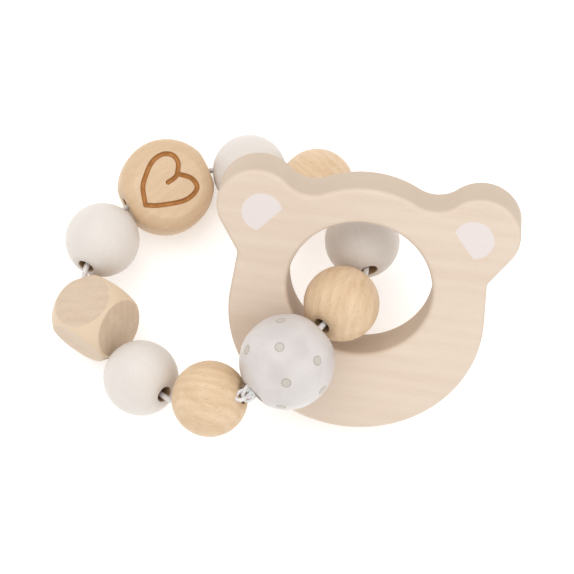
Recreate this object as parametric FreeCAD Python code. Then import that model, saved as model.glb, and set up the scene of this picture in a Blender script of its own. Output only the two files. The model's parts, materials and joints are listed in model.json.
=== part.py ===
"""Wooden baby rattle: ten beads on an elastic loop that also carries a bear-head ring.

Millimetres.  The rattle lies at rest on a table: +Z is up, +X is the longest way
across it, and the origin is the bottom centre of its bounding box.
"""

import FreeCAD, Part
import math
import os

from FreeCAD import Matrix, Placement, Vector

# ---- driving dimensions -------------------------------------------------------
BALL_DIAMETER = 16.0
BALL_BORE = 3.2
BALL_FLAT = 7.45            # centre to the small flat at each bore end

DOTTED_DIAMETER = 20.0
DOTTED_BORE = 4.2
DOTTED_FLAT = 9.45

DISC_DIAMETER = 20.5
DISC_THICKNESS = 11.2
DISC_ROUNDING = 3.0
DISC_BORE = 3.2
DISC_FLAT = 9.56

CUBE_ACROSS_FLATS = 13.8
CUBE_BALL = 18.7            # the ball that trims the corners and edges
CUBE_BORE = 3.6
CUBE_FLAT = 9.05

MOUTH_CHAMFER = 0.3

CORD_DIAMETER = 1.2
CORD_EASE = 3.0             # each bend starts this far before its corner
TAIL_DIAMETER = 0.75        # the knot's trimmed ends, stretched thin
WRAP_THICKNESS = 1.0
WRAP_RADIUS = 1.07          # a little under the cord's half width plus the wrap's
KNOT_HUMP = 0.8
KNOT_SIDE = Vector(0.0, -0.22, 0.98)    # the side of the cord that the hump lies on

RING_THICKNESS = 10.0
RING_EDGE = 1.1             # rounding of every outer edge
RING_HOLE = 15.2            # hole radius
HOLE_DOWN = 0.8             # hole centre below the ring's reference point
CHIN_RADIUS = 26.9
CHIN_DOWN = 7.2
CHEEK_ANGLE = 4.0           # the cheeks lean in by this many degrees
EAR_RADIUS = 8.4
EAR_OUT = 23.3
EAR_UP = 14.8
EAR_START = 33.0            # the ear arc starts this far below level
BROW_RADIUS = 21.1
BROW_UP = 1.1
EAR_FILLET = 7.0            # hollow between ear and brow
CHEEK_FILLET = 2.0          # hollow between cheek and ear

GROOVE_WIDTH = 1.0          # the heart line is a round-bottomed groove
HEART_TURN = -27.6          # degrees from the bore to level with the heart's strokes
HEART_TIP = (-4.8, -4.8)
HEART_CLEFT = (1.8, 2.4)
HEART_LEFT = [HEART_TIP, (-5.5, -1.1), (-5.0, 1.6), (-3.7, 4.7), (-1.6, 6.4),
              (0.6, 6.4), (1.9, 4.8), HEART_CLEFT, (1.2, 1.4), (-0.1, 0.4)]
HEART_RIGHT = [HEART_CLEFT, (5.0, 1.5), (6.2, -0.7), (3.7, -3.3), (-1.9, -4.7),
               HEART_TIP]

# ---- where things lie ---------------------------------------------------------
# Bead centres, in the order the cord passes through them.
CENTRES = {
    "dotted_bead": Vector(0.46, -19.60, 27.60),
    "natural_bead_a": Vector(12.02, -6.27, 23.60),
    "white_bead_a": Vector(16.77, 8.76, 17.70),
    "natural_bead_b": Vector(7.33, 22.01, 13.20),
    "white_bead_b": Vector(-7.24, 26.48, 8.00),
    "heart_disc": Vector(-25.46, 23.03, 6.98),
    "white_bead_c": Vector(-38.91, 10.38, 10.30),
    "cube_bead": Vector(-40.10, -7.04, 11.30),
    "white_bead_d": Vector(-30.13, -20.79, 15.25),
    "natural_bead_c": Vector(-15.58, -26.48, 22.28),
}

# Corners of the cord, each one between a bead and the next.
CORNERS = [
    Vector(7.35, -12.40, 27.30),
    Vector(17.91, 0.92, 20.40),
    Vector(14.88, 16.75, 15.62),
    Vector(0.98, 26.19, 10.57),
    Vector(-16.39, 27.41, 5.57),
    Vector(-34.86, 17.90, 7.99),
    Vector(-43.15, 2.24, 12.80),
    Vector(-36.46, -16.01, 10.40),
    Vector(-23.03, -27.06, 19.80),
    Vector(-6.70, -26.43, 26.27),
]

RING_CENTRE = Vector(16.24, -0.66, 25.30)
RING_NORMAL = Vector(-0.103, -0.628, 0.771)
RING_ACROSS = Vector(0.990, -0.137, 0.021)
DISC_NORMAL = Vector(0.125, -0.126, 0.980)
CUBE_NORMAL_A = Vector(-0.377, 0.345, 0.860)
CUBE_NORMAL_B = Vector(0.751, -0.430, 0.502)
CUBE_DIAGONAL = Vector(-1, 1, -1)       # from corner to corner, in the cube's axes


def unit(vector):
    """The same direction with length one."""
    return Vector(vector).normalize()


def frame(origin, x_axis, z_axis):
    """Placement whose z axis is exact and whose x axis is squared up to it."""
    z = unit(z_axis)
    x = unit(x_axis - z * x_axis.dot(z))
    y = z.cross(x)
    return Placement(Matrix(
        x.x, y.x, z.x, origin.x,
        x.y, y.y, z.y, origin.y,
        x.z, y.z, z.z, origin.z,
        0, 0, 0, 1))


def moved(shape, placement):
    """A copy of a shape, placed; its faces stay true planes, balls and cylinders."""
    copy = shape.copy()
    copy.Placement = placement.multiply(copy.Placement)
    return copy


def bore_tool(diameter, flat):
    """Through bore along Z with a chamfer at each mouth, the mouths at +-flat."""
    radius = diameter / 2
    tool = Part.makeCylinder(radius, 4 * flat, Vector(0, 0, -2 * flat))
    wide = radius + MOUTH_CHAMFER
    for side in (-1, 1):
        mouth = Part.makeCone(radius, wide + MOUTH_CHAMFER, 2 * MOUTH_CHAMFER,
                              Vector(0, 0, side * (flat - MOUTH_CHAMFER)),
                              Vector(0, 0, side))
        tool = tool.fuse(mouth)
    return tool


def between_flats(shape, flat):
    """Keep the part of a shape that lies between the planes z = -flat and z = +flat."""
    size = 60.0
    slab = Part.makeBox(size, size, 2 * flat, Vector(-size / 2, -size / 2, -flat))
    return shape.common(slab)


def ball_bead(diameter, bore, flat):
    """Turned ball with a bore along Z and a small flat at each bore end."""
    ball = Part.makeSphere(diameter / 2)
    return between_flats(ball, flat).cut(bore_tool(bore, flat))


def heart_lines():
    """Centrelines of the two strokes of the heart, on the disc's face."""
    turn = FreeCAD.Rotation(Vector(0, 0, 1), HEART_TURN)
    half = DISC_THICKNESS / 2
    lines = []
    for stroke in (HEART_LEFT, HEART_RIGHT):
        spline = Part.BSplineCurve()
        spline.interpolate([turn.multVec(Vector(x, y, 0)) + Vector(0, 0, half)
                            for x, y in stroke])
        lines.append(spline.toShape())
    return lines


def heart_disc():
    """Thick disc, bored along X, faces on +-Z, with the heart line cut in the top."""
    half = DISC_THICKNESS / 2
    disc = Part.makeCylinder(DISC_DIAMETER / 2, DISC_THICKNESS, Vector(0, 0, -half))
    rims = [edge for edge in disc.Edges if len(edge.Vertexes) == 1]
    disc = disc.makeFillet(DISC_ROUNDING, rims)
    turn = Placement(Vector(), FreeCAD.Rotation(Vector(0, 1, 0), 90))
    disc = between_flats(moved(disc, turn.inverse()), DISC_FLAT)
    disc = moved(disc.cut(bore_tool(DISC_BORE, DISC_FLAT)), turn)
    for line in heart_lines():
        disc = disc.cut(swept(Part.Wire([line]), GROOVE_WIDTH))
    for end in (HEART_TIP, HEART_RIGHT[0], HEART_LEFT[-1]):
        level = FreeCAD.Rotation(Vector(0, 0, 1), HEART_TURN)
        at = level.multVec(Vector(end[0], end[1], 0)) + Vector(0, 0, half)
        disc = disc.cut(Part.makeSphere(GROOVE_WIDTH / 2, at))
    return disc


def cube_bead():
    """Cube with flat faces, rounded by a ball, bored from corner to corner."""
    size = CUBE_ACROSS_FLATS
    cube = Part.makeBox(size, size, size, Vector(-size / 2, -size / 2, -size / 2))
    body = cube.common(Part.makeSphere(CUBE_BALL / 2))
    along = frame(Vector(), Vector(1, 1, 0), CUBE_DIAGONAL)
    body = between_flats(moved(body, along.inverse()), CUBE_FLAT)
    return moved(body.cut(bore_tool(CUBE_BORE, CUBE_FLAT)), along)


def arc_edge(centre, radius, start, end):
    """Arc in the XY plane from one angle to another, in degrees."""
    def at(angle):
        turn = math.radians(angle)
        return Vector(centre[0] + radius * math.cos(turn),
                      centre[1] + radius * math.sin(turn), 0)
    return Part.Arc(at(start), at((start + end) / 2), at(end)).toShape()


def bearing(start, end):
    """Angle in degrees of the direction from one point to another."""
    return math.degrees(math.atan2(end[1] - start[1], end[0] - start[0]))


def half_outline():
    """Right half of the bear head, from under the chin up to the crown."""
    chin = (0, -CHIN_DOWN)
    ear = (EAR_OUT, EAR_UP)
    brow = (0, BROW_UP)
    edges = [arc_edge(chin, CHIN_RADIUS, -90, CHEEK_ANGLE)]

    lean = math.radians(CHEEK_ANGLE)
    cheek_start = Vector(CHIN_RADIUS * math.cos(lean),
                         CHIN_RADIUS * math.sin(lean) - CHIN_DOWN, 0)
    cheek_way = Vector(-math.sin(lean), math.cos(lean), 0)
    rise = math.radians(EAR_START)
    ear_start = Vector(EAR_OUT + EAR_RADIUS * math.cos(rise),
                       EAR_UP - EAR_RADIUS * math.sin(rise), 0)
    ear_way = Vector(math.sin(rise), math.cos(rise), 0)
    gap = ear_start - cheek_start
    cross = cheek_way.x * ear_way.y - cheek_way.y * ear_way.x
    reach = (gap.x * ear_way.y - gap.y * ear_way.x) / cross
    corner = cheek_start + cheek_way * reach
    half_turn = math.radians(CHEEK_ANGLE + EAR_START) / 2
    trim = CHEEK_FILLET * math.tan(half_turn)
    before = corner - cheek_way * trim
    after = corner + ear_way * trim
    inward = unit(ear_way - cheek_way)
    middle = corner + inward * CHEEK_FILLET * (1 / math.cos(half_turn) - 1)
    edges.append(Part.LineSegment(cheek_start, before).toShape())
    edges.append(Part.Arc(before, middle, after).toShape())
    edges.append(Part.LineSegment(after, ear_start).toShape())

    spread = math.hypot(EAR_OUT, EAR_UP - BROW_UP)
    to_brow = BROW_RADIUS + EAR_FILLET
    to_ear = EAR_RADIUS + EAR_FILLET
    along = (to_brow ** 2 - to_ear ** 2 + spread ** 2) / (2 * spread)
    aside = math.sqrt(to_brow ** 2 - along ** 2)
    ex, ey = EAR_OUT / spread, (EAR_UP - BROW_UP) / spread
    hollow = (ex * along - ey * aside, BROW_UP + ey * along + ex * aside)
    edges.append(arc_edge(ear, EAR_RADIUS, -EAR_START, bearing(ear, hollow)))
    edges.append(arc_edge(hollow, EAR_FILLET, bearing(hollow, ear),
                          bearing(hollow, brow)))
    edges.append(arc_edge(brow, BROW_RADIUS, bearing(brow, hollow), 90))
    return edges


def bear_ring():
    """Flat bear-head ring, its faces on +-Z, rounded along every edge."""
    right = half_outline()
    left = [edge.mirror(Vector(), Vector(1, 0, 0)) for edge in right]
    ordered = Part.sortEdges(right + left)[0]
    face = Part.Face(Part.Wire(ordered))
    plate = face.extrude(Vector(0, 0, RING_THICKNESS))
    plate.translate(Vector(0, 0, -RING_THICKNESS / 2))
    hole = Part.makeCylinder(RING_HOLE, 2 * RING_THICKNESS,
                             Vector(0, -HOLE_DOWN, -RING_THICKNESS))
    plate = plate.cut(hole)
    level = RING_THICKNESS / 2
    rims = [edge for edge in plate.Edges
            if all(abs(abs(v.Z) - level) < 0.001 for v in edge.Vertexes)]
    return plate.makeFillet(RING_EDGE, rims)


def bend(number):
    """Start, middle, end and radius of the arc that rounds one corner of the cord."""
    corner = CORNERS[number]
    before = unit(CORNERS[number - 1] - corner)
    after = unit(CORNERS[(number + 1) % len(CORNERS)] - corner)
    half = math.acos(before.dot(after)) / 2
    radius = CORD_EASE * math.tan(half)
    inside = unit(before + after) * (CORD_EASE / math.cos(half) - radius)
    return corner + before * CORD_EASE, corner + inside, corner + after * CORD_EASE, radius


def cord_path():
    """Closed centreline: straight runs through the beads joined by tangent arcs."""
    edges, radii = [], []
    for number in range(len(CORNERS)):
        last_end = bend(number - 1)[2]
        start, middle, end, radius = bend(number)
        edges.append(Part.LineSegment(last_end, start).toShape())
        edges.append(Part.Arc(start, middle, end).toShape())
        radii.append(radius)
    return edges, radii


def swept(wire, diameter):
    """Round tube swept along a wire, starting square to its first edge."""
    edge = wire.Edges[0]
    start = edge.valueAt(edge.FirstParameter)
    way = edge.tangentAt(edge.FirstParameter)
    section = Part.Wire(Part.makeCircle(diameter / 2, start, way))
    return wire.makePipeShell([section], True, False)


def closed_tube(edges, diameter):
    """Round tube along a closed path: a rod for each run and a bent rod for each arc."""
    rods = []
    for edge in edges:
        start = edge.valueAt(edge.FirstParameter)
        way = edge.tangentAt(edge.FirstParameter)
        if isinstance(edge.Curve, Part.Line):
            rods.append(Part.makeCylinder(diameter / 2, edge.Length, start, way))
            continue
        circle = edge.Curve
        end_face = Part.Face(Part.Wire(Part.makeCircle(diameter / 2, start, way)))
        turn = math.degrees(edge.Length / circle.Radius)
        rods.append(end_face.revolve(circle.Center, circle.Axis, turn))
    return rods[0].multiFuse(rods[1:])


def cord_knot():
    """A wrap that grips the cord at its last bend, a hump on it and two tails."""
    start, middle, end, _ = bend(len(CORNERS) - 1)
    along = unit(end - start)
    up = unit(KNOT_SIDE - along * KNOT_SIDE.dot(along))
    aside = along.cross(up)
    seat = middle - along * 0.95
    hump_at = seat + up * 1.5 - along * 0.5
    hump = Part.makeSphere(KNOT_HUMP, hump_at)
    knot = Part.makeTorus(WRAP_RADIUS, WRAP_THICKNESS / 2, seat, along).fuse(hump)
    mouth = CENTRES["dotted_bead"] - run_direction(0) * DOTTED_FLAT
    for side in (-1, 1):
        root = hump_at + aside * side * 0.3
        tip = mouth + up * 1.35 + aside * side * 0.45 - run_direction(0) * 0.15
        tail = Part.makeCylinder(TAIL_DIAMETER / 2, (tip - root).Length, root, tip - root)
        knot = knot.fuse(tail)
    return knot


def run_direction(number):
    """Direction of the cord's run through the bead with this number."""
    return unit(CORNERS[number] - CORNERS[number - 1])


def cube_placement():
    """Where the cube lies, from the directions of two of its faces."""
    a = unit(CUBE_NORMAL_A)
    b = unit(CUBE_NORMAL_B - a * CUBE_NORMAL_B.dot(a))
    c = a.cross(b)
    at = CENTRES["cube_bead"]
    return Placement(Matrix(a.x, b.x, c.x, at.x, a.y, b.y, c.y, at.y,
                            a.z, b.z, c.z, at.z, 0, 0, 0, 1))


def build():
    """All the pieces by node name, each where it lies."""
    pieces = {}
    for number, (name, centre) in enumerate(CENTRES.items()):
        way = run_direction(number)
        if name == "heart_disc":
            bead = moved(heart_disc(), frame(centre, way * -1, DISC_NORMAL))
        elif name == "cube_bead":
            bead = moved(cube_bead(), cube_placement())
        else:
            dotted = name == "dotted_bead"
            size = DOTTED_DIAMETER if dotted else BALL_DIAMETER
            bore = DOTTED_BORE if dotted else BALL_BORE
            flat = DOTTED_FLAT if dotted else BALL_FLAT
            grain = Vector(0, 0, 1)
            bead = moved(ball_bead(size, bore, flat), frame(centre, grain, way))
        pieces[name] = bead
    pieces["bear_ring"] = moved(bear_ring(), frame(RING_CENTRE, RING_ACROSS, RING_NORMAL))
    edges, radii = cord_path()
    cord = closed_tube(edges, CORD_DIAMETER)
    pieces["elastic_cord"] = cord
    pieces["cord_knot"] = cord_knot()
    area = math.pi * CORD_DIAMETER ** 2 / 4
    length = sum(edge.Length for edge in edges)
    print("cord length %.2f, volume %.2f against %.2f" % (length, cord.Volume, length * area))
    print("cord bend radii", ["%.1f" % radius for radius in radii])
    return pieces


os.makedirs("parts", exist_ok=True)
box = FreeCAD.BoundBox()
for node, solid in build().items():
    if len(solid.Solids) != 1 or not solid.isValid():
        print("BAD", node, len(solid.Solids), solid.isValid())
    solid = solid.Solids[0]
    solid.exportStep("parts/%s.step" % node)
    box.add(solid.optimalBoundingBox(True, False))
    print("%-16s volume %8.1f" % (node, solid.Volume))
print("box x %.2f %.2f  y %.2f %.2f  z %.2f %.2f"
      % (box.XMin, box.XMax, box.YMin, box.YMax, box.ZMin, box.ZMax))
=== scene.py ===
"""Wooden baby rattle: beads, bear-head ring and elastic loop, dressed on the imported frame.

The frame is in metres.  Each piece is shaped in millimetres in its own axes, a Seat
says where those axes lie, and a finish reads the same axes through a Mapping node.
"""

import json
import logging
import math
from dataclasses import dataclass, field, replace
from enum import Enum
from typing import Sequence

import bpy
import numpy as np
from mathutils import Euler, Matrix, Vector


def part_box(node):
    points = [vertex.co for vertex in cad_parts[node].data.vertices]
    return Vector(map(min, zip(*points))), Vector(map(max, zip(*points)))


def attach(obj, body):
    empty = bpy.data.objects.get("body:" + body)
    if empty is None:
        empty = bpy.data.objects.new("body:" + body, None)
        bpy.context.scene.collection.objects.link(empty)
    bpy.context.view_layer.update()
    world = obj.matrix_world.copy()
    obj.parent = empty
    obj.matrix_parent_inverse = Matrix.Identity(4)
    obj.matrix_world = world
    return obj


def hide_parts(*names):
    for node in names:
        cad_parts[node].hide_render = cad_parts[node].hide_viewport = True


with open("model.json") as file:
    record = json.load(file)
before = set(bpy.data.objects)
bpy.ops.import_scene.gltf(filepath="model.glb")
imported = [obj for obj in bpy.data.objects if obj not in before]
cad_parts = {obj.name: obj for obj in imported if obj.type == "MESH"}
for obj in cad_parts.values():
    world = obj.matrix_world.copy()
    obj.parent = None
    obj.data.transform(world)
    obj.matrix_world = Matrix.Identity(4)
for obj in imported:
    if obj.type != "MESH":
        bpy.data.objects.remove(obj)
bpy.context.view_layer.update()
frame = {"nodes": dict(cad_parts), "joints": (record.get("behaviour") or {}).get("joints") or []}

MM = 0.001
log = logging.getLogger("rattle")

Colour = tuple[float, float, float]
Socket = bpy.types.NodeSocket
Piece = bpy.types.Object
Material = bpy.types.Material


class Role(Enum):
    """What a ball bead is made to look like."""

    NATURAL = "natural"
    WHITE = "white"


# ---- where a piece lies --------------------------------------------------------
@dataclass(frozen=True)
class Seat:
    """A piece's own axes in the frame: its centre in metres and two of its axes."""

    centre: Vector
    x_hint: Vector
    z_axis: Vector

    def axes(self) -> Matrix:
        """The 3 by 3 turn whose columns are the piece's x, y and z axes."""
        z = self.z_axis.normalized()
        x = (self.x_hint - z * self.x_hint.dot(z)).normalized()
        y = z.cross(x)
        return Matrix((x, y, z)).transposed()

    def place(self, points: np.ndarray) -> np.ndarray:
        """Carry points from the piece's axes into the frame.

        Args:
            points: rows of x, y, z in millimetres in the piece's own axes.

        Returns:
            Rows of x, y, z in metres in the frame.
        """
        turn = np.array(self.axes())
        return points @ turn.T * MM + np.array(self.centre)

    def matrix(self) -> Matrix:
        """The whole placement, from millimetres in the piece to metres in the frame."""
        return Matrix.Translation(self.centre) @ (self.axes() * MM).to_4x4()


def joint_seat(body: str, x_hint: Vector) -> Seat:
    """Seat of a bead: its centre and bore axis are those of its joint.

    Args:
        body: the body that the joint turns.
        x_hint: roughly where the piece's x axis points.

    Returns:
        The seat, with z along the bore.
    """
    joint = next(j for j in frame["joints"] if j["child"] == body)
    return Seat(Vector(joint["pos_m"]), x_hint, Vector(joint["axis"]))


# ---- meshes --------------------------------------------------------------------
def make_object(name: str, points: np.ndarray, faces: Sequence[Sequence[int]]) -> Piece:
    """Make a smooth-shaded object from points that are already in the frame.

    Args:
        name: the new object's name.
        points: rows of x, y, z in metres.
        faces: corner numbers of each face, turning outwards.

    Returns:
        The object, at the origin.
    """
    mesh = bpy.data.meshes.new(name)
    mesh.from_pydata([tuple(p) for p in points], [], [tuple(f) for f in faces])
    mesh.validate()
    mesh.polygons.foreach_set("use_smooth", [True] * len(mesh.polygons))
    mesh.set_sharp_from_angle(angle=math.radians(50))
    made = bpy.data.objects.new(name, mesh)
    bpy.context.scene.collection.objects.link(made)
    return made


def ring_faces(rows: int, around: int) -> np.ndarray:
    """Faces of a grid that closes on itself both ways, like a ring's skin.

    Args:
        rows: how many loops there are.
        around: how many points each loop has.

    Returns:
        Rows of four corner numbers.
    """
    row, step = np.meshgrid(np.arange(rows), np.arange(around), indexing="ij")
    next_row, next_step = (row + 1) % rows, (step + 1) % around
    corners = [row * around + step, next_row * around + step,
               next_row * around + next_step, row * around + next_step]
    return np.stack([c.ravel() for c in corners], axis=1)


def outward(name: str, points: np.ndarray, faces: np.ndarray, seat: Seat) -> Piece:
    """Make an object from a closed skin, with its faces turned outwards.

    Args:
        name: the new object's name.
        points: rows of x, y, z in millimetres in the piece's own axes.
        faces: rows of four corner numbers.
        seat: where the piece lies.

    Returns:
        The object, at the origin.
    """
    a, b, c, d = (points[faces[:, i]] for i in range(4))
    volume = np.einsum("ij,ij->i", a, np.cross(b, c)).sum()
    volume += np.einsum("ij,ij->i", a, np.cross(c, d)).sum()
    turned = faces if volume > 0 else faces[:, ::-1]
    return make_object(name, seat.place(points), turned.tolist())


def paint_points(made: Piece, name: str, values: np.ndarray) -> None:
    """Store a number on each point of an object."""
    layer = made.data.attributes.new(name, "FLOAT", "POINT")
    layer.data.foreach_set("value", values.astype(np.float32))


def smooth_min(a: np.ndarray, b: np.ndarray, soft: float) -> np.ndarray:
    """The smaller of two lengths, eased where they meet, so an edge is a little rounded."""
    low = np.minimum(a, b)
    return low - soft * np.log(np.exp(-(a - low) / soft) + np.exp(-(b - low) / soft))


# ---- material nodes ------------------------------------------------------------
def put(target: Socket, value: object) -> None:
    """Give a socket a value, or join it to another socket."""
    if isinstance(value, Socket):
        target.id_data.links.new(value, target)
    elif isinstance(value, tuple) and len(value) == 3 and target.type == "RGBA":
        target.default_value = (*value, 1.0)
    else:
        target.default_value = value


def add_node(tree: bpy.types.NodeTree, kind: str, feeds: dict[int | str, object] | None = None,
             **options: object) -> bpy.types.Node:
    """Add a node to a tree.

    Args:
        tree: a material's or a geometry node tree.
        kind: the node's type.
        feeds: a value or a socket for each of its inputs that is set.
        options: the node's own settings.

    Returns:
        The node.
    """
    made = tree.nodes.new(kind)
    for key, setting in options.items():
        setattr(made, key, setting)
    for key, feed in (feeds or {}).items():
        put(made.inputs[key], feed)
    return made


class Nodes:
    """A material's node tree, with the piece's own axes in millimetres to hand."""

    def __init__(self, name: str, seat: Seat | None, shift: float = 0.0) -> None:
        """Start a material.

        Args:
            name: the material's name.
            seat: the piece's axes, or None to read the frame in millimetres.
            shift: moves the grain, so that no two pieces match.
        """
        self.shift = shift
        self.material = bpy.data.materials.new(name)
        self.material.use_nodes = True
        self.tree = self.material.node_tree
        self.shader = self.tree.nodes["Principled BSDF"]
        source = add_node(self.tree, "ShaderNodeTexCoord").outputs["Object"]
        feeds = {"Scale": (MM, MM, MM), "Vector": source}
        if seat is not None:
            feeds.update(Location=seat.centre, Rotation=seat.axes().to_euler())
        centre = add_node(self.tree, "ShaderNodeMapping", feeds, vector_type="TEXTURE")
        self.own = centre.outputs["Vector"]

    def stretch(self, turn: tuple[float, float, float], scale: tuple[float, float, float],
                share: float) -> Socket:
        """The piece's axes turned and then stretched, for grain that runs one way.

        Args:
            turn: Euler angles in degrees.
            scale: how fast the pattern goes along each axis.
            share: how many times the piece's own shift the pattern is moved by.

        Returns:
            The stretched coordinates.
        """
        shift = self.shift * share
        level = [math.radians(angle) for angle in turn]
        turned = add_node(self.tree, "ShaderNodeMapping", {"Rotation": level, "Vector": self.own})
        scaled = add_node(self.tree, "ShaderNodeMapping",
                          {"Scale": scale, "Location": (shift, shift * 0.7, shift * 1.3),
                           "Vector": turned.outputs["Vector"]})
        return scaled.outputs["Vector"]

    def noise(self, where: Socket, scale: float, detail: float = 4.0, rough: float = 0.55,
              bend: float = 0.0) -> Socket:
        """Noise from 0 to 1 at the given coordinates."""
        return add_node(self.tree, "ShaderNodeTexNoise",
                        {"Vector": where, "Scale": scale, "Detail": detail, "Roughness": rough,
                         "Distortion": bend}).outputs["Fac"]

    def bands(self, where: Socket, scale: float, bend: float) -> Socket:
        """Growth bands from 0 to 1 across the y axis of the given coordinates."""
        return add_node(self.tree, "ShaderNodeTexWave",
                        {"Vector": where, "Scale": scale, "Distortion": bend, "Detail": 3.0,
                         "Detail Scale": 0.8}, bands_direction="Y").outputs["Fac"]

    def maths(self, kind: str, a: object, b: object = 0.0) -> Socket:
        """One sum of two values."""
        return add_node(self.tree, "ShaderNodeMath", {0: a, 1: b}, operation=kind).outputs[0]

    def length(self, x: object, y: object) -> Socket:
        """Length of a flat vector."""
        square = self.maths("ADD", self.maths("MULTIPLY", x, x), self.maths("MULTIPLY", y, y))
        return self.maths("SQRT", square)

    def ramp(self, value: object, low: float, high: float, from_: float = 0.0,
             to: float = 1.0) -> Socket:
        """Ease a value from one range to another, held at both ends."""
        return add_node(self.tree, "ShaderNodeMapRange",
                        {"Value": value, "From Min": low, "From Max": high, "To Min": from_,
                         "To Max": to}, interpolation_type="SMOOTHSTEP").outputs["Result"]

    def mix(self, factor: object, a: object, b: object) -> Socket:
        """Mix two colours."""
        return add_node(self.tree, "ShaderNodeMix", {"Factor": factor, 6: a, 7: b},
                        data_type="RGBA").outputs[2]

    def attribute(self, name: str) -> Socket:
        """A number painted on the piece's own points."""
        return add_node(self.tree, "ShaderNodeAttribute", attribute_name=name).outputs["Fac"]

    def separate(self) -> tuple[Socket, ...]:
        """The piece's own x, y and z in millimetres."""
        return tuple(add_node(self.tree, "ShaderNodeSeparateXYZ", {0: self.own}).outputs)

    def set(self, feeds: dict[str, object]) -> None:
        """Feed the shader's own inputs."""
        for key, feed in feeds.items():
            put(self.shader.inputs[key], feed)

    def finish(self, colour: object, rough: object, height: Socket,
               depth: float) -> Material:
        """Wire colour, roughness and bump into the shader.

        Args:
            colour: the surface colour.
            rough: its roughness.
            height: what the bump follows, from 0 to 1.
            depth: the bump's depth in metres.

        Returns:
            The material.
        """
        bump = add_node(self.tree, "ShaderNodeBump",
                        {"Distance": depth, "Strength": 0.6, "Height": height})
        self.set({"Normal": bump.outputs["Normal"], "Base Color": colour, "Roughness": rough})
        return self.material


# ---- finishes ------------------------------------------------------------------
class Finish:
    """A named finish, made afresh for each piece that wears it."""

    name: str

    def dress(self, nodes: Nodes) -> Material:
        """Wire this finish into one piece's tree."""
        raise NotImplementedError

    def material(self, piece: str, seat: Seat | None = None, shift: float = 0.0) -> Material:
        """Make this finish for one piece.

        Args:
            piece: the piece's name.
            seat: the piece's axes, or None to read the frame.
            shift: moves the grain, so that no two pieces match.

        Returns:
            The material.
        """
        return self.dress(Nodes("%s_%s" % (self.name, piece), seat, shift))


@dataclass(frozen=True)
class WoodFinish(Finish):
    """Sanded wood with grain, fibres and pores, a wash of white if it has one, and painted shade inside
    its bore.
    """

    name: str
    light: Colour
    dark: Colour
    pore: Colour
    turn: tuple[float, float, float] = (0.0, 0.0, 0.0)
    grain: float = 0.30
    streaks: float = 0.50
    pores: float = 0.35
    wash: float = 0.0
    white: Colour = (0.735, 0.69, 0.65)
    shine: float = 0.40
    rough: float = 0.48
    bore: float = 1.6
    # Dark brown of the bore: raw wood deepened with painted shade.
    raw_wood_and_bore_shade: Colour = (0.27, 0.165, 0.085)

    def colour(self, nodes: Nodes) -> tuple[Socket, Socket]:
        """Build the wood's colour and the height that its bump follows.

        Args:
            nodes: the material's tree.

        Returns:
            The colour and the height.
        """
        along = nodes.stretch(self.turn, (0.10, 1.0, 1.0), 1.0)
        fine = nodes.stretch(self.turn, (0.05, 1.0, 1.0), 1.7)
        tone = nodes.noise(along, self.grain, 5.0, 0.6, 0.5)
        bands = nodes.bands(along, self.grain * 0.55, 5.0)
        fibre = nodes.noise(fine, 3.2, 4.0, 0.65)
        share = nodes.maths("MULTIPLY", nodes.ramp(tone, 0.32, 0.68), 0.50)
        share = nodes.maths("ADD", share, nodes.maths("MULTIPLY", bands, 0.22))
        share = nodes.maths("ADD", share, nodes.maths("MULTIPLY", nodes.ramp(fibre, 0.35, 0.70), 0.30))
        share = nodes.maths("MULTIPLY", share, self.streaks * 2.0)
        wood = nodes.mix(share, self.light, self.dark)
        dashes = nodes.stretch(self.turn, (0.22, 1.6, 1.6), 2.3)
        pit = nodes.ramp(nodes.noise(dashes, 2.6, 2.0, 0.5), 0.60, 0.72)
        wood = nodes.mix(nodes.maths("MULTIPLY", pit, self.pores), wood, self.pore)
        if self.wash:
            cover = nodes.ramp(fibre, 0.25, 0.80, self.wash, self.wash - 0.16)
            wood = nodes.mix(cover, wood, self.white)
        # Painted shade: the bore wall and its chamfer are mixed to a dark brown, part the bore's raw
        # wood and part painted shade inside the hole.
        if self.bore:
            x, y, _ = nodes.separate()
            hollow = nodes.ramp(nodes.length(x, y), self.bore + 0.05, self.bore + 0.40, 1.0, 0.0)
            wood = nodes.mix(hollow, wood, self.raw_wood_and_bore_shade)
        return wood, nodes.maths("SUBTRACT", fibre, nodes.maths("MULTIPLY", pit, 0.8))

    def dress(self, nodes: Nodes) -> Material:
        """Wire this finish into one piece's tree."""
        wood, height = self.colour(nodes)
        nodes.set({"Specular IOR Level": self.shine})
        rough = nodes.ramp(height, 0.2, 0.8, self.rough + 0.06, self.rough - 0.06)
        return nodes.finish(wood, rough, height, 0.00003)


@dataclass(frozen=True)
class BurntHeartFinish(WoodFinish):
    """Wood with a scorched line, which the piece's "burn" attribute marks, and painted shade on its
    rounded rim.
    """

    char: Colour = (0.37, 0.155, 0.04)
    glow: Colour = (0.52, 0.235, 0.065)
    # Painted shade on the rounded rim beyond the flat face.
    rim_shade_tone: Colour = (0.53, 0.36, 0.21)
    face_radius: float = 7.25

    def dress(self, nodes: Nodes) -> Material:
        """Wire this finish into one piece's tree."""
        wood, height = self.colour(nodes)
        _, y, z = nodes.separate()
        # Painted shade: the rounded rim outside the flat face is mixed toward a darker brown, up to 30
        # percent.
        rim = nodes.ramp(nodes.length(y, z), self.face_radius - 0.1, self.face_radius + 0.5, 0.0, 0.30)
        wood = nodes.mix(rim, wood, self.rim_shade_tone)
        burn = nodes.attribute("burn")
        speckle = nodes.noise(nodes.own, 0.6, 2.0, 0.5)
        core = nodes.mix(nodes.ramp(speckle, 0.35, 0.65), self.glow, self.char)
        scorched = nodes.mix(nodes.ramp(burn, 0.55, 0.95), self.char, core)
        wood = nodes.mix(nodes.ramp(burn, 0.08, 0.50), wood, scorched)
        nodes.set({"Specular IOR Level": self.shine})
        rough = nodes.ramp(burn, 0.1, 0.6, self.rough, 0.72)
        return nodes.finish(wood, rough, height, 0.00003)


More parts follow.
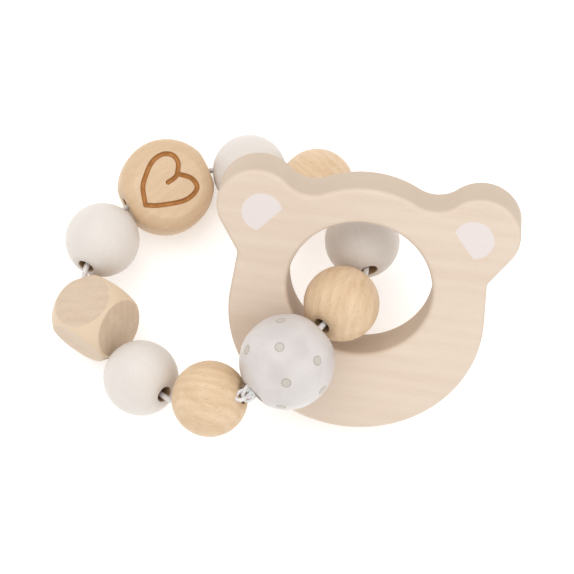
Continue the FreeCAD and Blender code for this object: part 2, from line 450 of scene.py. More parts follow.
@dataclass(frozen=True)
class CubeFinish(WoodFinish):
    """Wood that is paler where the ball rounds its edges, which the piece's "edge" attribute marks."""

    edge_tone: Colour = (0.72, 0.565, 0.40)

    def colour(self, nodes: Nodes) -> tuple[Socket, Socket]:
        """Build the wood's colour, paler on the edges, and the height for its bump."""
        wood, height = super().colour(nodes)
        edge = nodes.ramp(nodes.attribute("edge"), 0.0, 1.0, 0.0, 0.75)
        return nodes.mix(edge, wood, self.edge_tone), height


@dataclass(frozen=True)
class EarPaint:
    """The pale patch painted in each ear, in the ring's own axes (millimetres)."""

    centre: tuple[float, float] = (22.05, 13.95)
    radius: float = 4.25
    cut_angle: float = -140.0
    cut_out: float = 2.3
    colour: Colour = (0.745, 0.675, 0.66)

    def mask(self, nodes: Nodes, across: Socket, up: Socket,
             front: Socket) -> Socket:
        """Where the patch lies: a disc cut by a straight edge, on the front face only.

        Args:
            nodes: the material's tree.
            across: distance from the ring's middle line.
            up: distance up the ring's face.
            front: distance towards the front face.

        Returns:
            1 inside the patch, easing to 0 outside it.
        """
        side = nodes.maths("SUBTRACT", nodes.maths("ABSOLUTE", across), self.centre[0])
        rise = nodes.maths("SUBTRACT", up, self.centre[1])
        disc = nodes.ramp(nodes.length(side, rise), self.radius - 0.15, self.radius + 0.15, 1.0, 0.0)
        turn = math.radians(self.cut_angle)
        away = nodes.maths("ADD", nodes.maths("MULTIPLY", side, math.cos(turn)),
                           nodes.maths("MULTIPLY", rise, math.sin(turn)))
        kept = nodes.ramp(away, self.cut_out - 0.15, self.cut_out + 0.15, 1.0, 0.0)
        face = nodes.ramp(front, 4.2, 4.8)
        return nodes.maths("MULTIPLY", nodes.maths("MULTIPLY", disc, kept), face)


@dataclass(frozen=True)
class RingFinish(WoodFinish):
    """Pale close-grained wood with painted ears and painted shade on its sides."""

    paint: EarPaint = EarPaint()
    # Painted shade on the ring's sides.
    side_shade_tone: Colour = (0.50, 0.39, 0.29)

    def dress(self, nodes: Nodes) -> Material:
        """Wire this finish into one piece's tree."""
        wood, height = self.colour(nodes)
        across, up, front = nodes.separate()
        # Painted shade: away from the front and back faces, the sides are mixed toward a darker brown,
        # up to 70 percent.
        depth = nodes.maths("ABSOLUTE", front)
        wood = nodes.mix(nodes.ramp(depth, 4.95, 3.8, 0.0, 0.70), wood, self.side_shade_tone)
        patch = self.paint.mask(nodes, across, up, front)
        thin = nodes.ramp(height, 0.2, 0.9, 0.95, 0.80)
        wood = nodes.mix(nodes.maths("MULTIPLY", patch, thin), wood, self.paint.colour)
        nodes.set({"Specular IOR Level": self.shine})
        return nodes.finish(wood, self.rough, height, 0.00003)


@dataclass(frozen=True)
class PaintFinish(Finish):
    """Satin paint over a ball, faintly uneven where it was dipped."""

    name: str = "satin_paint"
    colour: Colour = (0.64, 0.595, 0.575)
    shade: Colour = (0.585, 0.54, 0.52)

    def dress(self, nodes: Nodes) -> Material:
        """Wire this finish into one piece's tree."""
        cloud = nodes.noise(nodes.own, 0.18, 3.0)
        ripple = nodes.noise(nodes.own, 1.4, 3.0)
        nodes.set({"Specular IOR Level": 0.5, "Coat Weight": 0.25, "Coat Roughness": 0.30})
        colour = nodes.mix(nodes.ramp(cloud, 0.35, 0.65), self.colour, self.shade)
        return nodes.finish(colour, nodes.ramp(ripple, 0.3, 0.7, 0.34, 0.42), ripple, 0.00002)


@dataclass(frozen=True)
class DotFinish(Finish):
    """Printed dots, darker towards the rim, where the ink pooled."""

    name: str = "dot_ink"
    middle: Colour = (0.53, 0.485, 0.43)
    rim: Colour = (0.41, 0.36, 0.31)

    def dress(self, nodes: Nodes) -> Material:
        """Wire this finish into one piece's tree."""
        grain = nodes.noise(nodes.own, 2.5, 3.0)
        edge = nodes.maths("ADD", nodes.attribute("rim"), nodes.ramp(grain, 0.3, 0.7, -0.08, 0.08))
        colour = nodes.mix(nodes.ramp(edge, 0.80, 0.98), self.middle, self.rim)
        return nodes.finish(colour, 0.45, grain, 0.00001)


@dataclass(frozen=True)
class ElasticFinish(Finish):
    """Clear glossy elastic, milky where it is thick."""

    name: str = "clear_elastic"
    colour: Colour = (0.62, 0.59, 0.585)
    milky: Colour = (0.78, 0.75, 0.73)

    def dress(self, nodes: Nodes) -> Material:
        """Wire this finish into one piece's tree."""
        cloud = nodes.noise(nodes.own, 1.1, 3.0)
        nodes.set({"Specular IOR Level": 0.6, "Subsurface Weight": 0.25, "Subsurface Scale": 0.0006,
                   "Coat Weight": 0.5, "Coat Roughness": 0.12})
        colour = nodes.mix(nodes.ramp(cloud, 0.3, 0.7), self.colour, self.milky)
        return nodes.finish(colour, 0.25, cloud, 0.00001)


NATURAL = WoodFinish("natural_wood", (0.76, 0.575, 0.39), (0.60, 0.41, 0.235), (0.36, 0.21, 0.10),
                     pores=0.38)
WASHED = WoodFinish("white_washed_wood", (0.66, 0.56, 0.46), (0.55, 0.44, 0.34), (0.46, 0.35, 0.26),
                    wash=0.88, pores=0.18, rough=0.44)
BURNT = BurntHeartFinish("heart_wood", (0.74, 0.555, 0.375), (0.63, 0.44, 0.265), (0.46, 0.29, 0.15),
                         pores=0.24, streaks=0.40, bore=1.6)
CUBE = CubeFinish("cube_wood", (0.66, 0.52, 0.385), (0.55, 0.415, 0.295), (0.40, 0.28, 0.18),
                  pores=0.30, streaks=0.45, bore=1.8)
PALE = RingFinish("ring_wood", (0.735, 0.615, 0.505), (0.665, 0.53, 0.415), (0.53, 0.40, 0.29),
                  grain=0.16, streaks=0.42, pores=0.16, shine=0.3, rough=0.58, bore=0.0)


# ---- beads ---------------------------------------------------------------------
@dataclass
class Bead:
    """A bead bored along its own z axis; sizes in millimetres."""

    node: str
    slot: str
    bore: float = 3.2
    flat: float = 7.45
    chamfer: float = 0.3
    rows: int = 132
    around: int = 176
    soft: float = 0.07
    x_hint: Vector = field(default_factory=lambda: Vector((0, 0, 1)))

    def seat(self) -> Seat:
        """The bead's own axes: z along the bore."""
        return joint_seat(self.node, self.x_hint)

    def reach(self, way: np.ndarray) -> np.ndarray:
        """Distance from the centre to the skin, before the flats are cut.

        Args:
            way: rows of unit directions in the bead's own axes.

        Returns:
            One distance for each direction.
        """
        raise NotImplementedError

    def turns(self) -> np.ndarray:
        """Angles round the bore at which the skin has points."""
        return np.linspace(0, 2 * math.pi, self.around, endpoint=False)

    def skin(self) -> tuple[np.ndarray, np.ndarray]:
        """The closed skin, from one mouth over the outside and back through the bore.

        Returns:
            The points, and the faces as rows of four corner numbers.
        """
        mouth = self.bore / 2 + self.chamfer
        start = math.atan2(mouth, self.flat)
        polar = np.linspace(start, math.pi - start, self.rows)[:, None]
        turn = self.turns()[None, :]
        way = np.stack(np.broadcast_arrays(np.sin(polar) * np.cos(turn),
                                           np.sin(polar) * np.sin(turn),
                                           np.cos(polar)), axis=-1)
        cut = self.flat / np.maximum(np.abs(way[..., 2]), 1e-6)
        length = smooth_min(self.reach(way), np.minimum(cut, 60.0), self.soft)
        outside = way * length[..., None]
        level = self.flat - self.chamfer
        wall = np.linspace(-level, level, 8)[:, None, None]
        circle = np.stack([np.cos(turn), np.sin(turn), np.zeros_like(turn)], axis=-1)
        inside = circle * self.bore / 2 + np.array([0, 0, 1.0]) * wall
        points = np.concatenate([outside, inside], axis=0)
        return points.reshape(-1, 3), ring_faces(points.shape[0], points.shape[1])

    def finish(self, number: int) -> Material:
        """The bead's material.

        Args:
            number: the bead's place along the cord.

        Returns:
            The material.
        """
        raise NotImplementedError

    def build(self, number: int) -> Piece:
        """Make the bead, dress it and put it in place of its CAD node.

        Args:
            number: the bead's place along the cord.

        Returns:
            The finished piece.
        """
        points, faces = self.skin()
        made = outward(self.node + "_turned", points, faces, self.seat())
        self.mark(made, points)
        made.data.materials.append(self.finish(number))
        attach(made, self.node)
        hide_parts(self.node)
        return made

    def mark(self, made: Piece, points: np.ndarray) -> None:
        """Paint numbers on the bead's points; a plain bead has none."""


@dataclass
class BallBead(Bead):
    """A turned ball with small flats at the ends of its bore."""

    diameter: float = 16.0
    role: Role = Role.NATURAL

    def reach(self, way: np.ndarray) -> np.ndarray:
        """Every way it is half the diameter."""
        return np.full(way.shape[:-1], self.diameter / 2)

    def finish(self, number: int) -> Material:
        """Natural wood or a white wash, its grain turned a little from bead to bead."""
        base = NATURAL if self.role is Role.NATURAL else WASHED
        turned = replace(base, turn=(17.0 * number, 35.0 + 23.0 * number, 40.0))
        return turned.material(self.node, self.seat(), 3.1 * number)


@dataclass
class DottedBead(BallBead):
    """The large painted ball, with printed dots scattered evenly over it."""

    dot_diameter: float = 2.1
    dots: int = 19
    dot_turn: tuple[float, float, float] = (185.0, 253.0, 155.5)
    dot_height: float = 0.03

    def finish(self, number: int) -> Material:
        """Satin paint."""
        return PaintFinish().material(self.node, self.seat())

    def build(self, number: int) -> Piece:
        """Make the ball and its dots, which ride on the same body."""
        ball = super().build(number)
        dots = DotScatter(self.diameter / 2, self.dots, self.dot_diameter / 2,
                          self.dot_height, self.bore / 2 + 2.2, self.dot_turn).build(self.seat())
        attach(dots, self.node)
        return ball


@dataclass
class DiscBead(Bead):
    """A thick disc bored along a diameter; its face looks along its own x axis."""

    diameter: float = 20.5
    thickness: float = 11.2
    rounding: float = 3.0
    groove: float = 1.0
    heart_turn: float = -27.6
    tip: tuple[float, float] = (-4.8, -4.8)
    cleft: tuple[float, float] = (1.8, 2.4)

    def strokes(self) -> list[np.ndarray]:
        """The heart's two strokes as smooth lines through a few points each."""
        left = [self.tip, (-5.5, -1.1), (-5.0, 1.6), (-3.7, 4.7), (-1.6, 6.4), (0.6, 6.4),
                (1.9, 4.8), self.cleft, (1.2, 1.4), (-0.1, 0.4)]
        right = [self.cleft, (5.0, 1.5), (6.2, -0.7), (3.7, -3.3), (-1.9, -4.7), self.tip]
        return [smooth_line(left, 24), smooth_line(right, 40)]

    def turns(self) -> np.ndarray:
        """More points round the side that carries the heart."""
        face = np.linspace(-0.31 * math.pi, 0.31 * math.pi, 170)
        rest = np.linspace(0.31 * math.pi, 1.69 * math.pi, self.around)[1:-1]
        return np.concatenate([face, rest])

    def reach(self, way: np.ndarray) -> np.ndarray:
        """Distance to a disc with a rounded rim."""
        out = np.maximum(np.abs(way[..., 0]), 1e-6)
        side = np.maximum(np.sqrt(np.maximum(1 - out ** 2, 0)), 1e-6)
        wide, high = self.diameter / 2, self.thickness / 2
        inner_w, inner_h = wide - self.rounding, high - self.rounding
        face, rim = high / out, wide / side
        middle = side * inner_w + out * inner_h
        inside = np.maximum(middle ** 2 - inner_w ** 2 - inner_h ** 2 + self.rounding ** 2, 0)
        corner = middle + np.sqrt(inside)
        reach = np.where(face * side <= inner_w, face, corner)
        return np.where(rim * out <= inner_h, rim, reach)

    def heart_distance(self, points: np.ndarray) -> np.ndarray:
        """How far each point of the face lies from the heart's line."""
        turn = math.radians(self.heart_turn)
        right, up = -points[:, 2], points[:, 1]
        away = np.full(len(points), 99.0)
        for line in self.strokes():
            x = line[:, 0] * math.cos(turn) - line[:, 1] * math.sin(turn)
            y = line[:, 0] * math.sin(turn) + line[:, 1] * math.cos(turn)
            gap = np.hypot(right[:, None] - x[None], up[:, None] - y[None]).min(axis=1)
            away = np.minimum(away, gap)
        return np.where(points[:, 0] > self.thickness / 2 - 1.0, away, 99.0)

    def skin(self) -> tuple[np.ndarray, np.ndarray]:
        """The disc's skin with the heart's round-bottomed groove pressed in."""
        points, faces = super().skin()
        near = np.clip(self.heart_distance(points) / (self.groove / 2), 0, 1)
        points[:, 0] -= self.groove / 2 * np.sqrt(1 - near ** 2) * 0.9
        return points, faces

    def mark(self, made: Piece, points: np.ndarray) -> None:
        """Paint how deep each point lies in the burnt line."""
        away = self.heart_distance(points + np.array([0.5, 0, 0]))
        paint_points(made, "burn", np.clip(1.35 - away / (self.groove / 2), 0, 1))

    def finish(self, number: int) -> Material:
        """Warm wood with the scorched heart."""
        turned = replace(BURNT, turn=(0.0, 78.0, 12.0))
        return turned.material(self.node, self.seat(), 2.0 * number)


@dataclass
class CubeBead(Bead):
    """A cube rounded by a ball and bored from corner to corner."""

    across: float = 13.8
    ball: float = 18.7
    face_a: Vector = field(default_factory=lambda: Vector((-0.377, 0.345, 0.860)))
    face_b: Vector = field(default_factory=lambda: Vector((0.751, -0.430, 0.502)))

    def normals(self) -> np.ndarray:
        """The three face directions, as columns, in the bead's own axes."""
        a = self.face_a.normalized()
        b = (self.face_b - a * self.face_b.dot(a)).normalized()
        return np.array(self.seat().axes()).T @ np.array([a, b, a.cross(b)]).T

    def reach(self, way: np.ndarray) -> np.ndarray:
        """Distance to the nearest face, or to the ball that rounds the edges."""
        lean = np.abs(way @ self.normals())
        face = self.across / 2 / np.maximum(lean.max(axis=-1), 1e-6)
        return smooth_min(face, np.full(face.shape, self.ball / 2), 0.05)

    def mark(self, made: Piece, points: np.ndarray) -> None:
        """Paint where the ball, and not a flat face, shapes the skin."""
        way = points / np.linalg.norm(points, axis=1)[:, None]
        face = self.across / 2 / np.abs(way @ self.normals()).max(axis=1)
        mouth = np.hypot(points[:, 0], points[:, 1]) > self.bore / 2 + self.chamfer + 0.1
        paint_points(made, "edge", np.clip((face - self.ball / 2) / 0.15 + 0.5, 0, 1) * mouth)

    def finish(self, number: int) -> Material:
        """Pale wood whose grain runs across the upper faces."""
        turned = replace(CUBE, turn=(25.0, 30.0, 70.0))
        return turned.material(self.node, self.seat(), 1.4 * number)


def smooth_line(points: Sequence[tuple[float, float]], steps: int) -> np.ndarray:
    """A smooth line through some points.

    Args:
        points: the points it goes through.
        steps: how many pieces each span has.

    Returns:
        Rows of x and y along the line.
    """
    p = np.array(points)
    p = np.vstack([2 * p[0] - p[1], p, 2 * p[-1] - p[-2]])
    t = np.linspace(0, 1, steps, endpoint=False)[:, None]
    spans = []
    for a, b, c, d in zip(p[:-3], p[1:-2], p[2:-1], p[3:]):
        spans.append(0.5 * (2 * b + (c - a) * t + (2 * a - 5 * b + 4 * c - d) * t ** 2
                            + (3 * b - a - 3 * c + d) * t ** 3))
    return np.vstack(spans + [p[-2:-1]])


# ---- geometry nodes ------------------------------------------------------------
class GeometryTree:
    """A geometry node tree with named inputs, run once and turned into a plain mesh."""

    def __init__(self, name: str) -> None:
        """Start a tree with a geometry input and output."""
        self.tree = bpy.data.node_groups.new(name, "GeometryNodeTree")
        self.tree.interface.new_socket("Geometry", in_out="INPUT", socket_type="NodeSocketGeometry")
        self.tree.interface.new_socket("Geometry", in_out="OUTPUT", socket_type="NodeSocketGeometry")
        self.source = self.tree.nodes.new("NodeGroupInput")
        self.sink = self.tree.nodes.new("NodeGroupOutput")
        self.values: dict[str, object] = {}

    def value(self, name: str, kind: str, amount: object) -> Socket:
        """Add a named input.

        Args:
            name: what the input is called.
            kind: its socket type.
            amount: what it is set to.

        Returns:
            The socket to link from.
        """
        made = self.tree.interface.new_socket(name, in_out="INPUT", socket_type=kind)
        self.values[made.identifier] = amount
        return self.source.outputs[name]

    def node(self, kind: str, feeds: dict[int | str, object] | None = None,
             **options: object) -> bpy.types.Node:
        """Add a node to this tree."""
        return add_node(self.tree, kind, feeds, **options)

    def end(self, geometry: Socket, material: Material) -> None:
        """Realize, set the material and join the output."""
        real = self.node("GeometryNodeRealizeInstances", {0: geometry})
        dress = self.node("GeometryNodeSetMaterial", {"Geometry": real.outputs[0], "Material": material})
        put(self.sink.inputs[0], dress.outputs[0])

    def run(self, name: str, start: bpy.types.ID | None = None) -> Piece:
        """Run the tree and return its result as a plain mesh object.

        Args:
            name: the new object's name.
            start: a curve or mesh that the tree starts from, or None for nothing.

        Returns:
            The object, at the origin, with no modifier.
        """
        base = start or bpy.data.meshes.new(name + "_start")
        holder = bpy.data.objects.new(name + "_holder", base)
        bpy.context.scene.collection.objects.link(holder)
        modifier = holder.modifiers.new("tree", "NODES")
        modifier.node_group = self.tree
        for identifier, amount in self.values.items():
            modifier[identifier] = amount
        graph = bpy.context.evaluated_depsgraph_get()
        mesh = bpy.data.meshes.new_from_object(holder.evaluated_get(graph))
        mesh.name = name
        made = bpy.data.objects.new(name, mesh)
        bpy.context.scene.collection.objects.link(made)
        bpy.data.objects.remove(holder)
        return made


@dataclass
class DotScatter:
    """Thin printed dots, evenly spread over a ball and clear of its bore."""

    ball: float
    count: int
    radius: float
    height: float
    keep_off: float
    turn: tuple[float, float, float]

    def spots(self) -> np.ndarray:
        """Even spots over the ball, by the golden angle, away from both bore mouths."""
        step = np.arange(self.count) + 0.5
        up = 1 - 2 * step / self.count
        turn = step * math.pi * (3 - math.sqrt(5))
        flat = np.sqrt(1 - up ** 2)
        spots = np.stack([flat * np.cos(turn), flat * np.sin(turn), up], axis=1)
        whole = Euler(tuple(math.radians(angle) for angle in self.turn)).to_matrix()
        spots = spots @ np.array(whole).T
        return spots[np.hypot(spots[:, 0], spots[:, 1]) * self.ball > self.keep_off]

    def build(self, seat: Seat) -> Piece:
        """Instance a disc at each spot and wrap it onto the ball.

        Args:
            seat: the ball's axes.

        Returns:
            The dots as one piece.
        """
        start = bpy.data.meshes.new("dot_spots")
        start.from_pydata([tuple(p * self.ball) for p in self.spots()], [], [])
        tree = GeometryTree("printed_dots")
        radius = tree.value("Dot radius", "NodeSocketFloat", self.radius)
        ball = tree.value("Ball radius", "NodeSocketFloat", self.ball)
        height = tree.value("Dot height", "NodeSocketFloat", self.height)
        disc = tree.node("GeometryNodeMeshCylinder",
                         {"Vertices": 40, "Fill Segments": 5, "Depth": 2.0, "Radius": radius},
                         fill_type="TRIANGLE_FAN")
        place = tree.node("GeometryNodeInputPosition").outputs[0]
        parts = tree.node("ShaderNodeSeparateXYZ", {0: place})
        rise = tree.node("GeometryNodeStoreNamedAttribute",
                         {"Name": "rise", "Geometry": disc.outputs["Mesh"], "Value": parts.outputs["Z"]},
                         data_type="FLOAT", domain="POINT")
        across = tree.node("ShaderNodeVectorMath", {0: place, 1: (1, 1, 0)}, operation="MULTIPLY")
        length = tree.node("ShaderNodeVectorMath", {0: across.outputs[0]}, operation="LENGTH")
        share = tree.node("ShaderNodeMath", {0: length.outputs["Value"], 1: radius}, operation="DIVIDE")
        rim = tree.node("GeometryNodeStoreNamedAttribute",
                        {"Name": "rim", "Geometry": rise.outputs[0], "Value": share.outputs[0]},
                        data_type="FLOAT", domain="POINT")
        here = tree.node("GeometryNodeInputPosition").outputs[0]
        face = tree.node("FunctionNodeAlignRotationToVector", {"Vector": here}, axis="Z")
        scatter = tree.node("GeometryNodeInstanceOnPoints",
                            {"Points": tree.source.outputs["Geometry"], "Instance": rim.outputs[0],
                             "Rotation": face.outputs[0]})
        real = tree.node("GeometryNodeRealizeInstances", {0: scatter.outputs[0]})
        out = tree.node("ShaderNodeVectorMath", {0: here}, operation="NORMALIZE")
        stored = tree.node("GeometryNodeInputNamedAttribute", {"Name": "rise"}, data_type="FLOAT")
        thick = tree.node("ShaderNodeMath", {0: stored.outputs["Attribute"], 1: height, 2: ball},
                          operation="MULTIPLY_ADD")
        wrap = tree.node("ShaderNodeVectorMath", {0: out.outputs[0], "Scale": thick.outputs[0]},
                         operation="SCALE")
        bend = tree.node("GeometryNodeSetPosition",
                         {"Geometry": real.outputs[0], "Position": wrap.outputs[0]})
        tree.end(bend.outputs[0], DotFinish().material("dotted_bead", seat))
        made = tree.run("dotted_bead_dots", start)
        made.data.transform(seat.matrix())
        return made


@dataclass
class CordKnot:
    """The tied knot: a trefoil of elastic round the cord, with two trimmed tails."""

    node: str = "cord_knot"
    diameter: float = 0.85
    size: float = 0.55
    drawn_out: float = 1.6
    tail: float = 3.4

    def route(self, turns: int = 96) -> np.ndarray:
        """Points along the trefoil, by its formula, in millimetres."""
        t = np.linspace(0, 2 * math.pi, turns, endpoint=False)
        return self.size * np.stack([self.drawn_out * (np.sin(t) + 2 * np.sin(2 * t)),
                                     np.cos(t) - 2 * np.cos(2 * t),
                                     -np.sin(3 * t)], axis=1)

    def sweep(self, name: str, lines: Sequence[tuple[np.ndarray, bool]]) -> Piece:
        """Sweep a round section along some lines.

        Args:
            name: the new object's name.
            lines: rows of points for each line, and whether it closes on itself.

        Returns:
            The swept object.
        """
        curve = bpy.data.curves.new(name, "CURVE")
        curve.dimensions = "3D"
        for points, closed in lines:
            spline = curve.splines.new("POLY")
            spline.points.add(len(points) - 1)
            for spot, place in zip(spline.points, points):
                spot.co = (*place, 1.0)
            spline.use_cyclic_u = closed
        tree = GeometryTree("elastic_sweep")
        width = tree.value("Diameter", "NodeSocketFloat", self.diameter * MM)
        half = tree.node("ShaderNodeMath", {0: width, 1: 0.5}, operation="MULTIPLY")
        section = tree.node("GeometryNodeCurvePrimitiveCircle",
                            {"Resolution": 20, "Radius": half.outputs[0]})
        swept = tree.node("GeometryNodeCurveToMesh",
                          {"Curve": tree.source.outputs["Geometry"],
                           "Profile Curve": section.outputs[0], "Fill Caps": True})
        smooth = tree.node("GeometryNodeSetShadeSmooth", {"Geometry": swept.outputs[0]})
        tree.end(smooth.outputs[0], ElasticFinish().material(name))
        return tree.run(name, curve)

    def build(self) -> Piece:
        """Make the knot in place of its CAD node."""
        low, high = (np.array(corner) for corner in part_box(self.node))
        mouth = np.array(next(j for j in frame["joints"] if j["child"] == "dotted_bead")["pos_m"])
        middle = (low + high) / 2
        onward = (mouth - middle) / np.linalg.norm(mouth - middle)
        heart = np.array([low[0] + 0.0012, middle[1], high[2] - 0.0012])
        seat = Seat(Vector(heart), Vector(onward), Vector((0.2, -0.3, 1.0)))
        lines = [(seat.place(self.route()), True)]
        for side in (-1, 1):
            step = np.linspace(0, 1, 12)[:, None]
            start, end = np.array([0.3, 0.45 * side, 0.15]), np.array([self.tail, 0.5 * side, -0.9])
            rise = np.array([0, 0.12 * side, 0.45]) * np.sin(step * math.pi)
            lines.append((seat.place(start + (end - start) * step + rise), False))
        made = self.sweep("cord_knot_tied", lines)
        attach(made, "cord_loop")
        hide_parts(self.node)
        return made


# ---- the bear ring -------------------------------------------------------------
@dataclass
class BearRing:
    """The flat ring: a bear's head in outline, its face looking along its own z axis."""

    node: str = "bear_ring"
    thickness: float = 10.0
    edge: float = 1.1
    hole: float = 15.2
    hole_down: float = 0.8
    chin_radius: float = 26.9
    chin_down: float = 7.2
    cheek_angle: float = 4.0
    ear_radius: float = 8.4
    ear_out: float = 23.3
    ear_up: float = 14.8
    ear_start: float = 33.0
    brow_radius: float = 21.1
    brow_up: float = 1.1
    ear_fillet: float = 7.0
    cheek_fillet: float = 2.0
    across: Vector = field(default_factory=lambda: Vector((0.990, -0.137, 0.021)))

    def seat(self) -> Seat:
        """The ring's own axes: its centre is a little above its hole's, where its joint is."""
        turning = joint_seat(self.node, self.across)
        up = turning.axes().col[1]
        return Seat(turning.centre + up * self.hole_down * MM, self.across, turning.z_axis)

    def half_outline(self) -> tuple[np.ndarray, np.ndarray]:
        """Points and outward normals up the right half, from the chin to the crown.

        Returns:
            Rows of x and y, and the outward direction at each.
        """
        chin, ear = np.array([0, -self.chin_down]), np.array([self.ear_out, self.ear_up])
        brow = np.array([0, self.brow_up])
        lean, rise = math.radians(self.cheek_angle), math.radians(self.ear_start)
        cheek_way = np.array([-math.sin(lean), math.cos(lean)])
        ear_way = np.array([math.sin(rise), math.cos(rise)])
        cheek_start = chin + self.chin_radius * np.array([math.cos(lean), math.sin(lean)])
        ear_start = ear + self.ear_radius * np.array([math.cos(rise), -math.sin(rise)])
        reach = np.linalg.solve(np.array([cheek_way, -ear_way]).T, ear_start - cheek_start)[0]
        corner = cheek_start + cheek_way * reach
        half_turn = (lean + rise) / 2
        trim = self.cheek_fillet * math.tan(half_turn)
        inward = (ear_way - cheek_way) / np.linalg.norm(ear_way - cheek_way)
        hollow_a = corner + inward * self.cheek_fillet / math.cos(half_turn)
        gap = ear - brow
        spread = float(np.hypot(*gap))
        to_brow, to_ear = self.brow_radius + self.ear_fillet, self.ear_radius + self.ear_fillet
        along = (to_brow ** 2 - to_ear ** 2 + spread ** 2) / (2 * spread)
        aside = math.sqrt(to_brow ** 2 - along ** 2)
        unit = gap / spread
        hollow_b = brow + unit * along + np.array([-unit[1], unit[0]]) * aside
        points, normals = [], []

        def arc(centre: np.ndarray, radius: float, start: float, end: float, sign: int) -> None:
            """Add an arc; sign is -1 where the outline is hollow."""
            count = max(8, int(abs(end - start) * radius / 0.30))
            for angle in np.linspace(start, end, count, endpoint=False):
                way = np.array([math.cos(angle), math.sin(angle)])
                points.append(centre + radius * way)
                normals.append(way * sign)

        def line(start: np.ndarray, end: np.ndarray, way: np.ndarray) -> None:
            """Add a straight stretch."""
            count = max(4, int(np.linalg.norm(end - start) / 0.35))
            for share in np.linspace(0, 1, count, endpoint=False):
                points.append(start + (end - start) * share)
                normals.append(np.array([way[1], -way[0]]))

        def angle(start: np.ndarray, end: np.ndarray) -> float:
            """Direction from one point to another."""
            return math.atan2(*(end - start)[::-1])

        arc(chin, self.chin_radius, -math.pi / 2, lean, 1)
        line(cheek_start, corner - cheek_way * trim, cheek_way)
        arc(hollow_a, self.cheek_fillet, math.pi + lean, math.pi - rise, -1)
        line(corner + ear_way * trim, ear_start, ear_way)
        arc(ear, self.ear_radius, -rise, angle(ear, hollow_b), 1)
        arc(hollow_b, self.ear_fillet, angle(hollow_b, ear) % (2 * math.pi),
            angle(hollow_b, brow) % (2 * math.pi), -1)
        arc(brow, self.brow_radius, angle(brow, hollow_b), math.pi / 2, 1)
        return np.array(points), np.array(normals)

    def outline(self) -> tuple[np.ndarray, np.ndarray]:
        """The whole outline, its left half mirrored from the right."""
        points, normals = self.half_outline()
        crown = (np.array([[0, self.brow_up + self.brow_radius]]), np.array([[0, 1.0]]))
        flip = np.array([-1, 1])
        return (np.vstack([points, crown[0], points[:0:-1] * flip]),
                np.vstack([normals, crown[1], normals[:0:-1] * flip]))

    def skin(self) -> tuple[np.ndarray, np.ndarray]:
        """The ring's skin: a rounded section swept between the outline and the hole.

        Returns:
            The points, and the faces as rows of four corner numbers.
        """
        points, normals = self.outline()
        centre = np.array([0, -self.hole_down])
        way = points - centre
        way /= np.linalg.norm(way, axis=1)[:, None]
        bore = centre + way * self.hole
        half, edge = self.thickness / 2, self.edge
        rows = []
        quarter = np.linspace(0, math.pi / 2, 9)
        for height, sign in ((half - edge, 1), (edge - half, -1)):
            turns = quarter if sign > 0 else quarter[::-1]
            for turn in turns:
                inset = edge * (1 - math.cos(turn))
                level = height + sign * edge * math.sin(turn)
                rows.append((points - normals * inset, level))
            back = quarter[::-1] if sign > 0 else quarter
            flat_rows = []
            for share in np.linspace(0, 1, 10)[1:-1]:
                inner, outer = bore + way * edge, points - normals * edge
                flat_rows.append((outer + (inner - outer) * share, sign * half))
            hole_rows = [(bore + way * edge * (1 - math.cos(turn)),
                          height + sign * edge * math.sin(turn)) for turn in back]
            if sign > 0:
                rows += flat_rows + hole_rows
            else:
                rows = rows[:-9] + hole_rows + flat_rows[::-1] + rows[-9:]
        grid = [np.column_stack([flat, np.full(len(flat), level)]) for flat, level in rows]
        skin = np.stack(grid)
        return skin.reshape(-1, 3), ring_faces(skin.shape[0], skin.shape[1])

    def build(self) -> Piece:
        """Make the ring in place of its CAD node."""
        points, faces = self.skin()
        made = outward(self.node + "_sawn", points, faces, self.seat())
        made.data.materials.append(PALE.material(self.node, self.seat(), 4.0))
        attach(made, self.node)
        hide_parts(self.node)
        return made


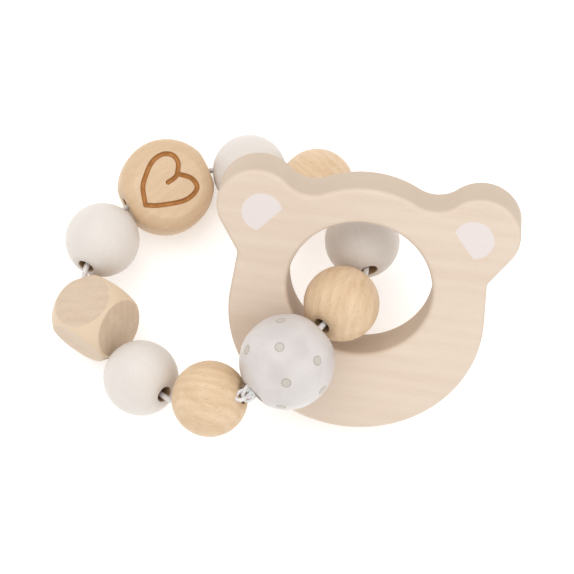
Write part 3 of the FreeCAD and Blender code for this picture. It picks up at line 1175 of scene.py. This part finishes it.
# ---- room, light and camera ----------------------------------------------------
@dataclass
class Studio:
    """A plain pale floor, soft light from the camera's side, and the camera."""

    eye: Vector = field(default_factory=lambda: Vector((-0.014295, -0.133866, 0.609744)))
    right: Vector = field(default_factory=lambda: Vector((0.9997, 0.0, 0.0253)))
    back: Vector = field(default_factory=lambda: Vector((-0.0247, -0.2182, 0.9756)))
    lens: float = 179.1
    floor_size: float = 6.0
    floor_glow: float = 0.30
    lamp_size: float = 0.9
    key_power: float = 4.7
    fill_power: float = 2.6
    surround_glow: float = 0.84

    def camera(self) -> None:
        """A long lens that looks down at the rattle."""
        data = bpy.data.cameras.new("camera")
        data.sensor_width = 36.0
        data.lens = self.lens
        data.clip_start = 0.01
        camera = bpy.data.objects.new("camera", data)
        back = self.back.normalized()
        right = (self.right - back * self.right.dot(back)).normalized()
        turn = Matrix((right, back.cross(right), back)).transposed()
        camera.matrix_world = Matrix.Translation(self.eye) @ turn.to_4x4()
        bpy.context.scene.collection.objects.link(camera)
        bpy.context.scene.camera = camera

    def floor(self) -> None:
        """A pale matt floor at the table's height."""
        half = self.floor_size / 2
        corners = np.array([[-half, -half, 0], [half, -half, 0], [half, half, 0], [-half, half, 0]])
        made = make_object("floor", corners, [(0, 1, 2, 3)])
        nodes = Nodes("pale_floor", None)
        cloud = nodes.noise(nodes.own, 0.01, 2.0)
        colour = nodes.mix(cloud, (0.93, 0.93, 0.93), (0.91, 0.91, 0.91))
        nodes.set({"Emission Color": (1.0, 1.0, 1.0, 1.0), "Emission Strength": self.floor_glow})
        made.data.materials.append(nodes.finish(colour, 0.9, cloud, 0.00001))

    def lamp(self, name: str, place: Vector, power: float) -> None:
        """One soft square light of some watts that faces the rattle."""
        data = bpy.data.lights.new(name, "AREA")
        data.shape = "SQUARE"
        data.size = self.lamp_size
        data.energy = power
        light = bpy.data.objects.new(name, data)
        light.location = place
        light.rotation_euler = (-place).to_track_quat("-Z", "Y").to_euler()
        bpy.context.scene.collection.objects.link(light)

    def lights(self) -> None:
        """A wide light overhead, a weaker one to the right, and an even pale surround."""
        self.lamp("key", Vector((-0.25, 0.30, 1.1)), self.key_power)
        self.lamp("fill", Vector((0.7, -0.5, 0.9)), self.fill_power)
        world = bpy.data.worlds.new("surround")
        world.use_nodes = True
        world.node_tree.nodes["Background"].inputs["Color"].default_value = (1.0, 1.0, 1.0, 1.0)
        world.node_tree.nodes["Background"].inputs["Strength"].default_value = self.surround_glow
        bpy.context.scene.world = world
        bpy.context.scene.view_settings.view_transform = "Standard"


@dataclass
class Rattle:
    """The whole rattle, in the order in which the cord passes through its beads."""

    def beads(self) -> list[Bead]:
        """Every bead, from the dotted one round the loop to the one beside the knot."""
        def ball(node: str, role: Role) -> BallBead:
            """One small ball."""
            slot = "natural_wood" if role is Role.NATURAL else "white_washed_wood"
            return BallBead(node, slot, role=role)

        return [
            DottedBead("dotted_bead", "painted_bead", bore=4.2, flat=9.45, diameter=20.0),
            ball("natural_bead_a", Role.NATURAL),
            ball("white_bead_a", Role.WHITE),
            ball("natural_bead_b", Role.NATURAL),
            ball("white_bead_b", Role.WHITE),
            DiscBead("heart_disc", "disc_wood", flat=9.56, rows=230, around=150,
                     x_hint=Vector((0.125, -0.126, 0.980))),
            ball("white_bead_c", Role.WHITE),
            CubeBead("cube_bead", "cube_wood", bore=3.6, flat=9.05, rows=200, around=220),
            ball("white_bead_d", Role.WHITE),
            ball("natural_bead_c", Role.NATURAL),
        ]

    def cord(self) -> None:
        """Dress the CAD cord in clear elastic."""
        material = ElasticFinish().material("elastic_cord")
        node = frame["nodes"]["elastic_cord"]
        for slot in node.material_slots:
            slot.material = material

    def build(self) -> None:
        """Make every piece and report it."""
        for number, bead in enumerate(self.beads()):
            made = bead.build(number)
            log.info("%s: %d points", made.name, len(made.data.vertices))
        ring = BearRing().build()
        log.info("%s: %d points", ring.name, len(ring.data.vertices))
        self.cord()
        knot = CordKnot().build()
        log.info("%s: %d points", knot.name, len(knot.data.vertices))


def main() -> None:
    """Build the rattle and its studio."""
    logging.basicConfig(level=logging.INFO, format="%(name)s: %(message)s")
    Rattle().build()
    studio = Studio()
    studio.floor()
    studio.lights()
    studio.camera()


if __name__ == "__main__":
    main()
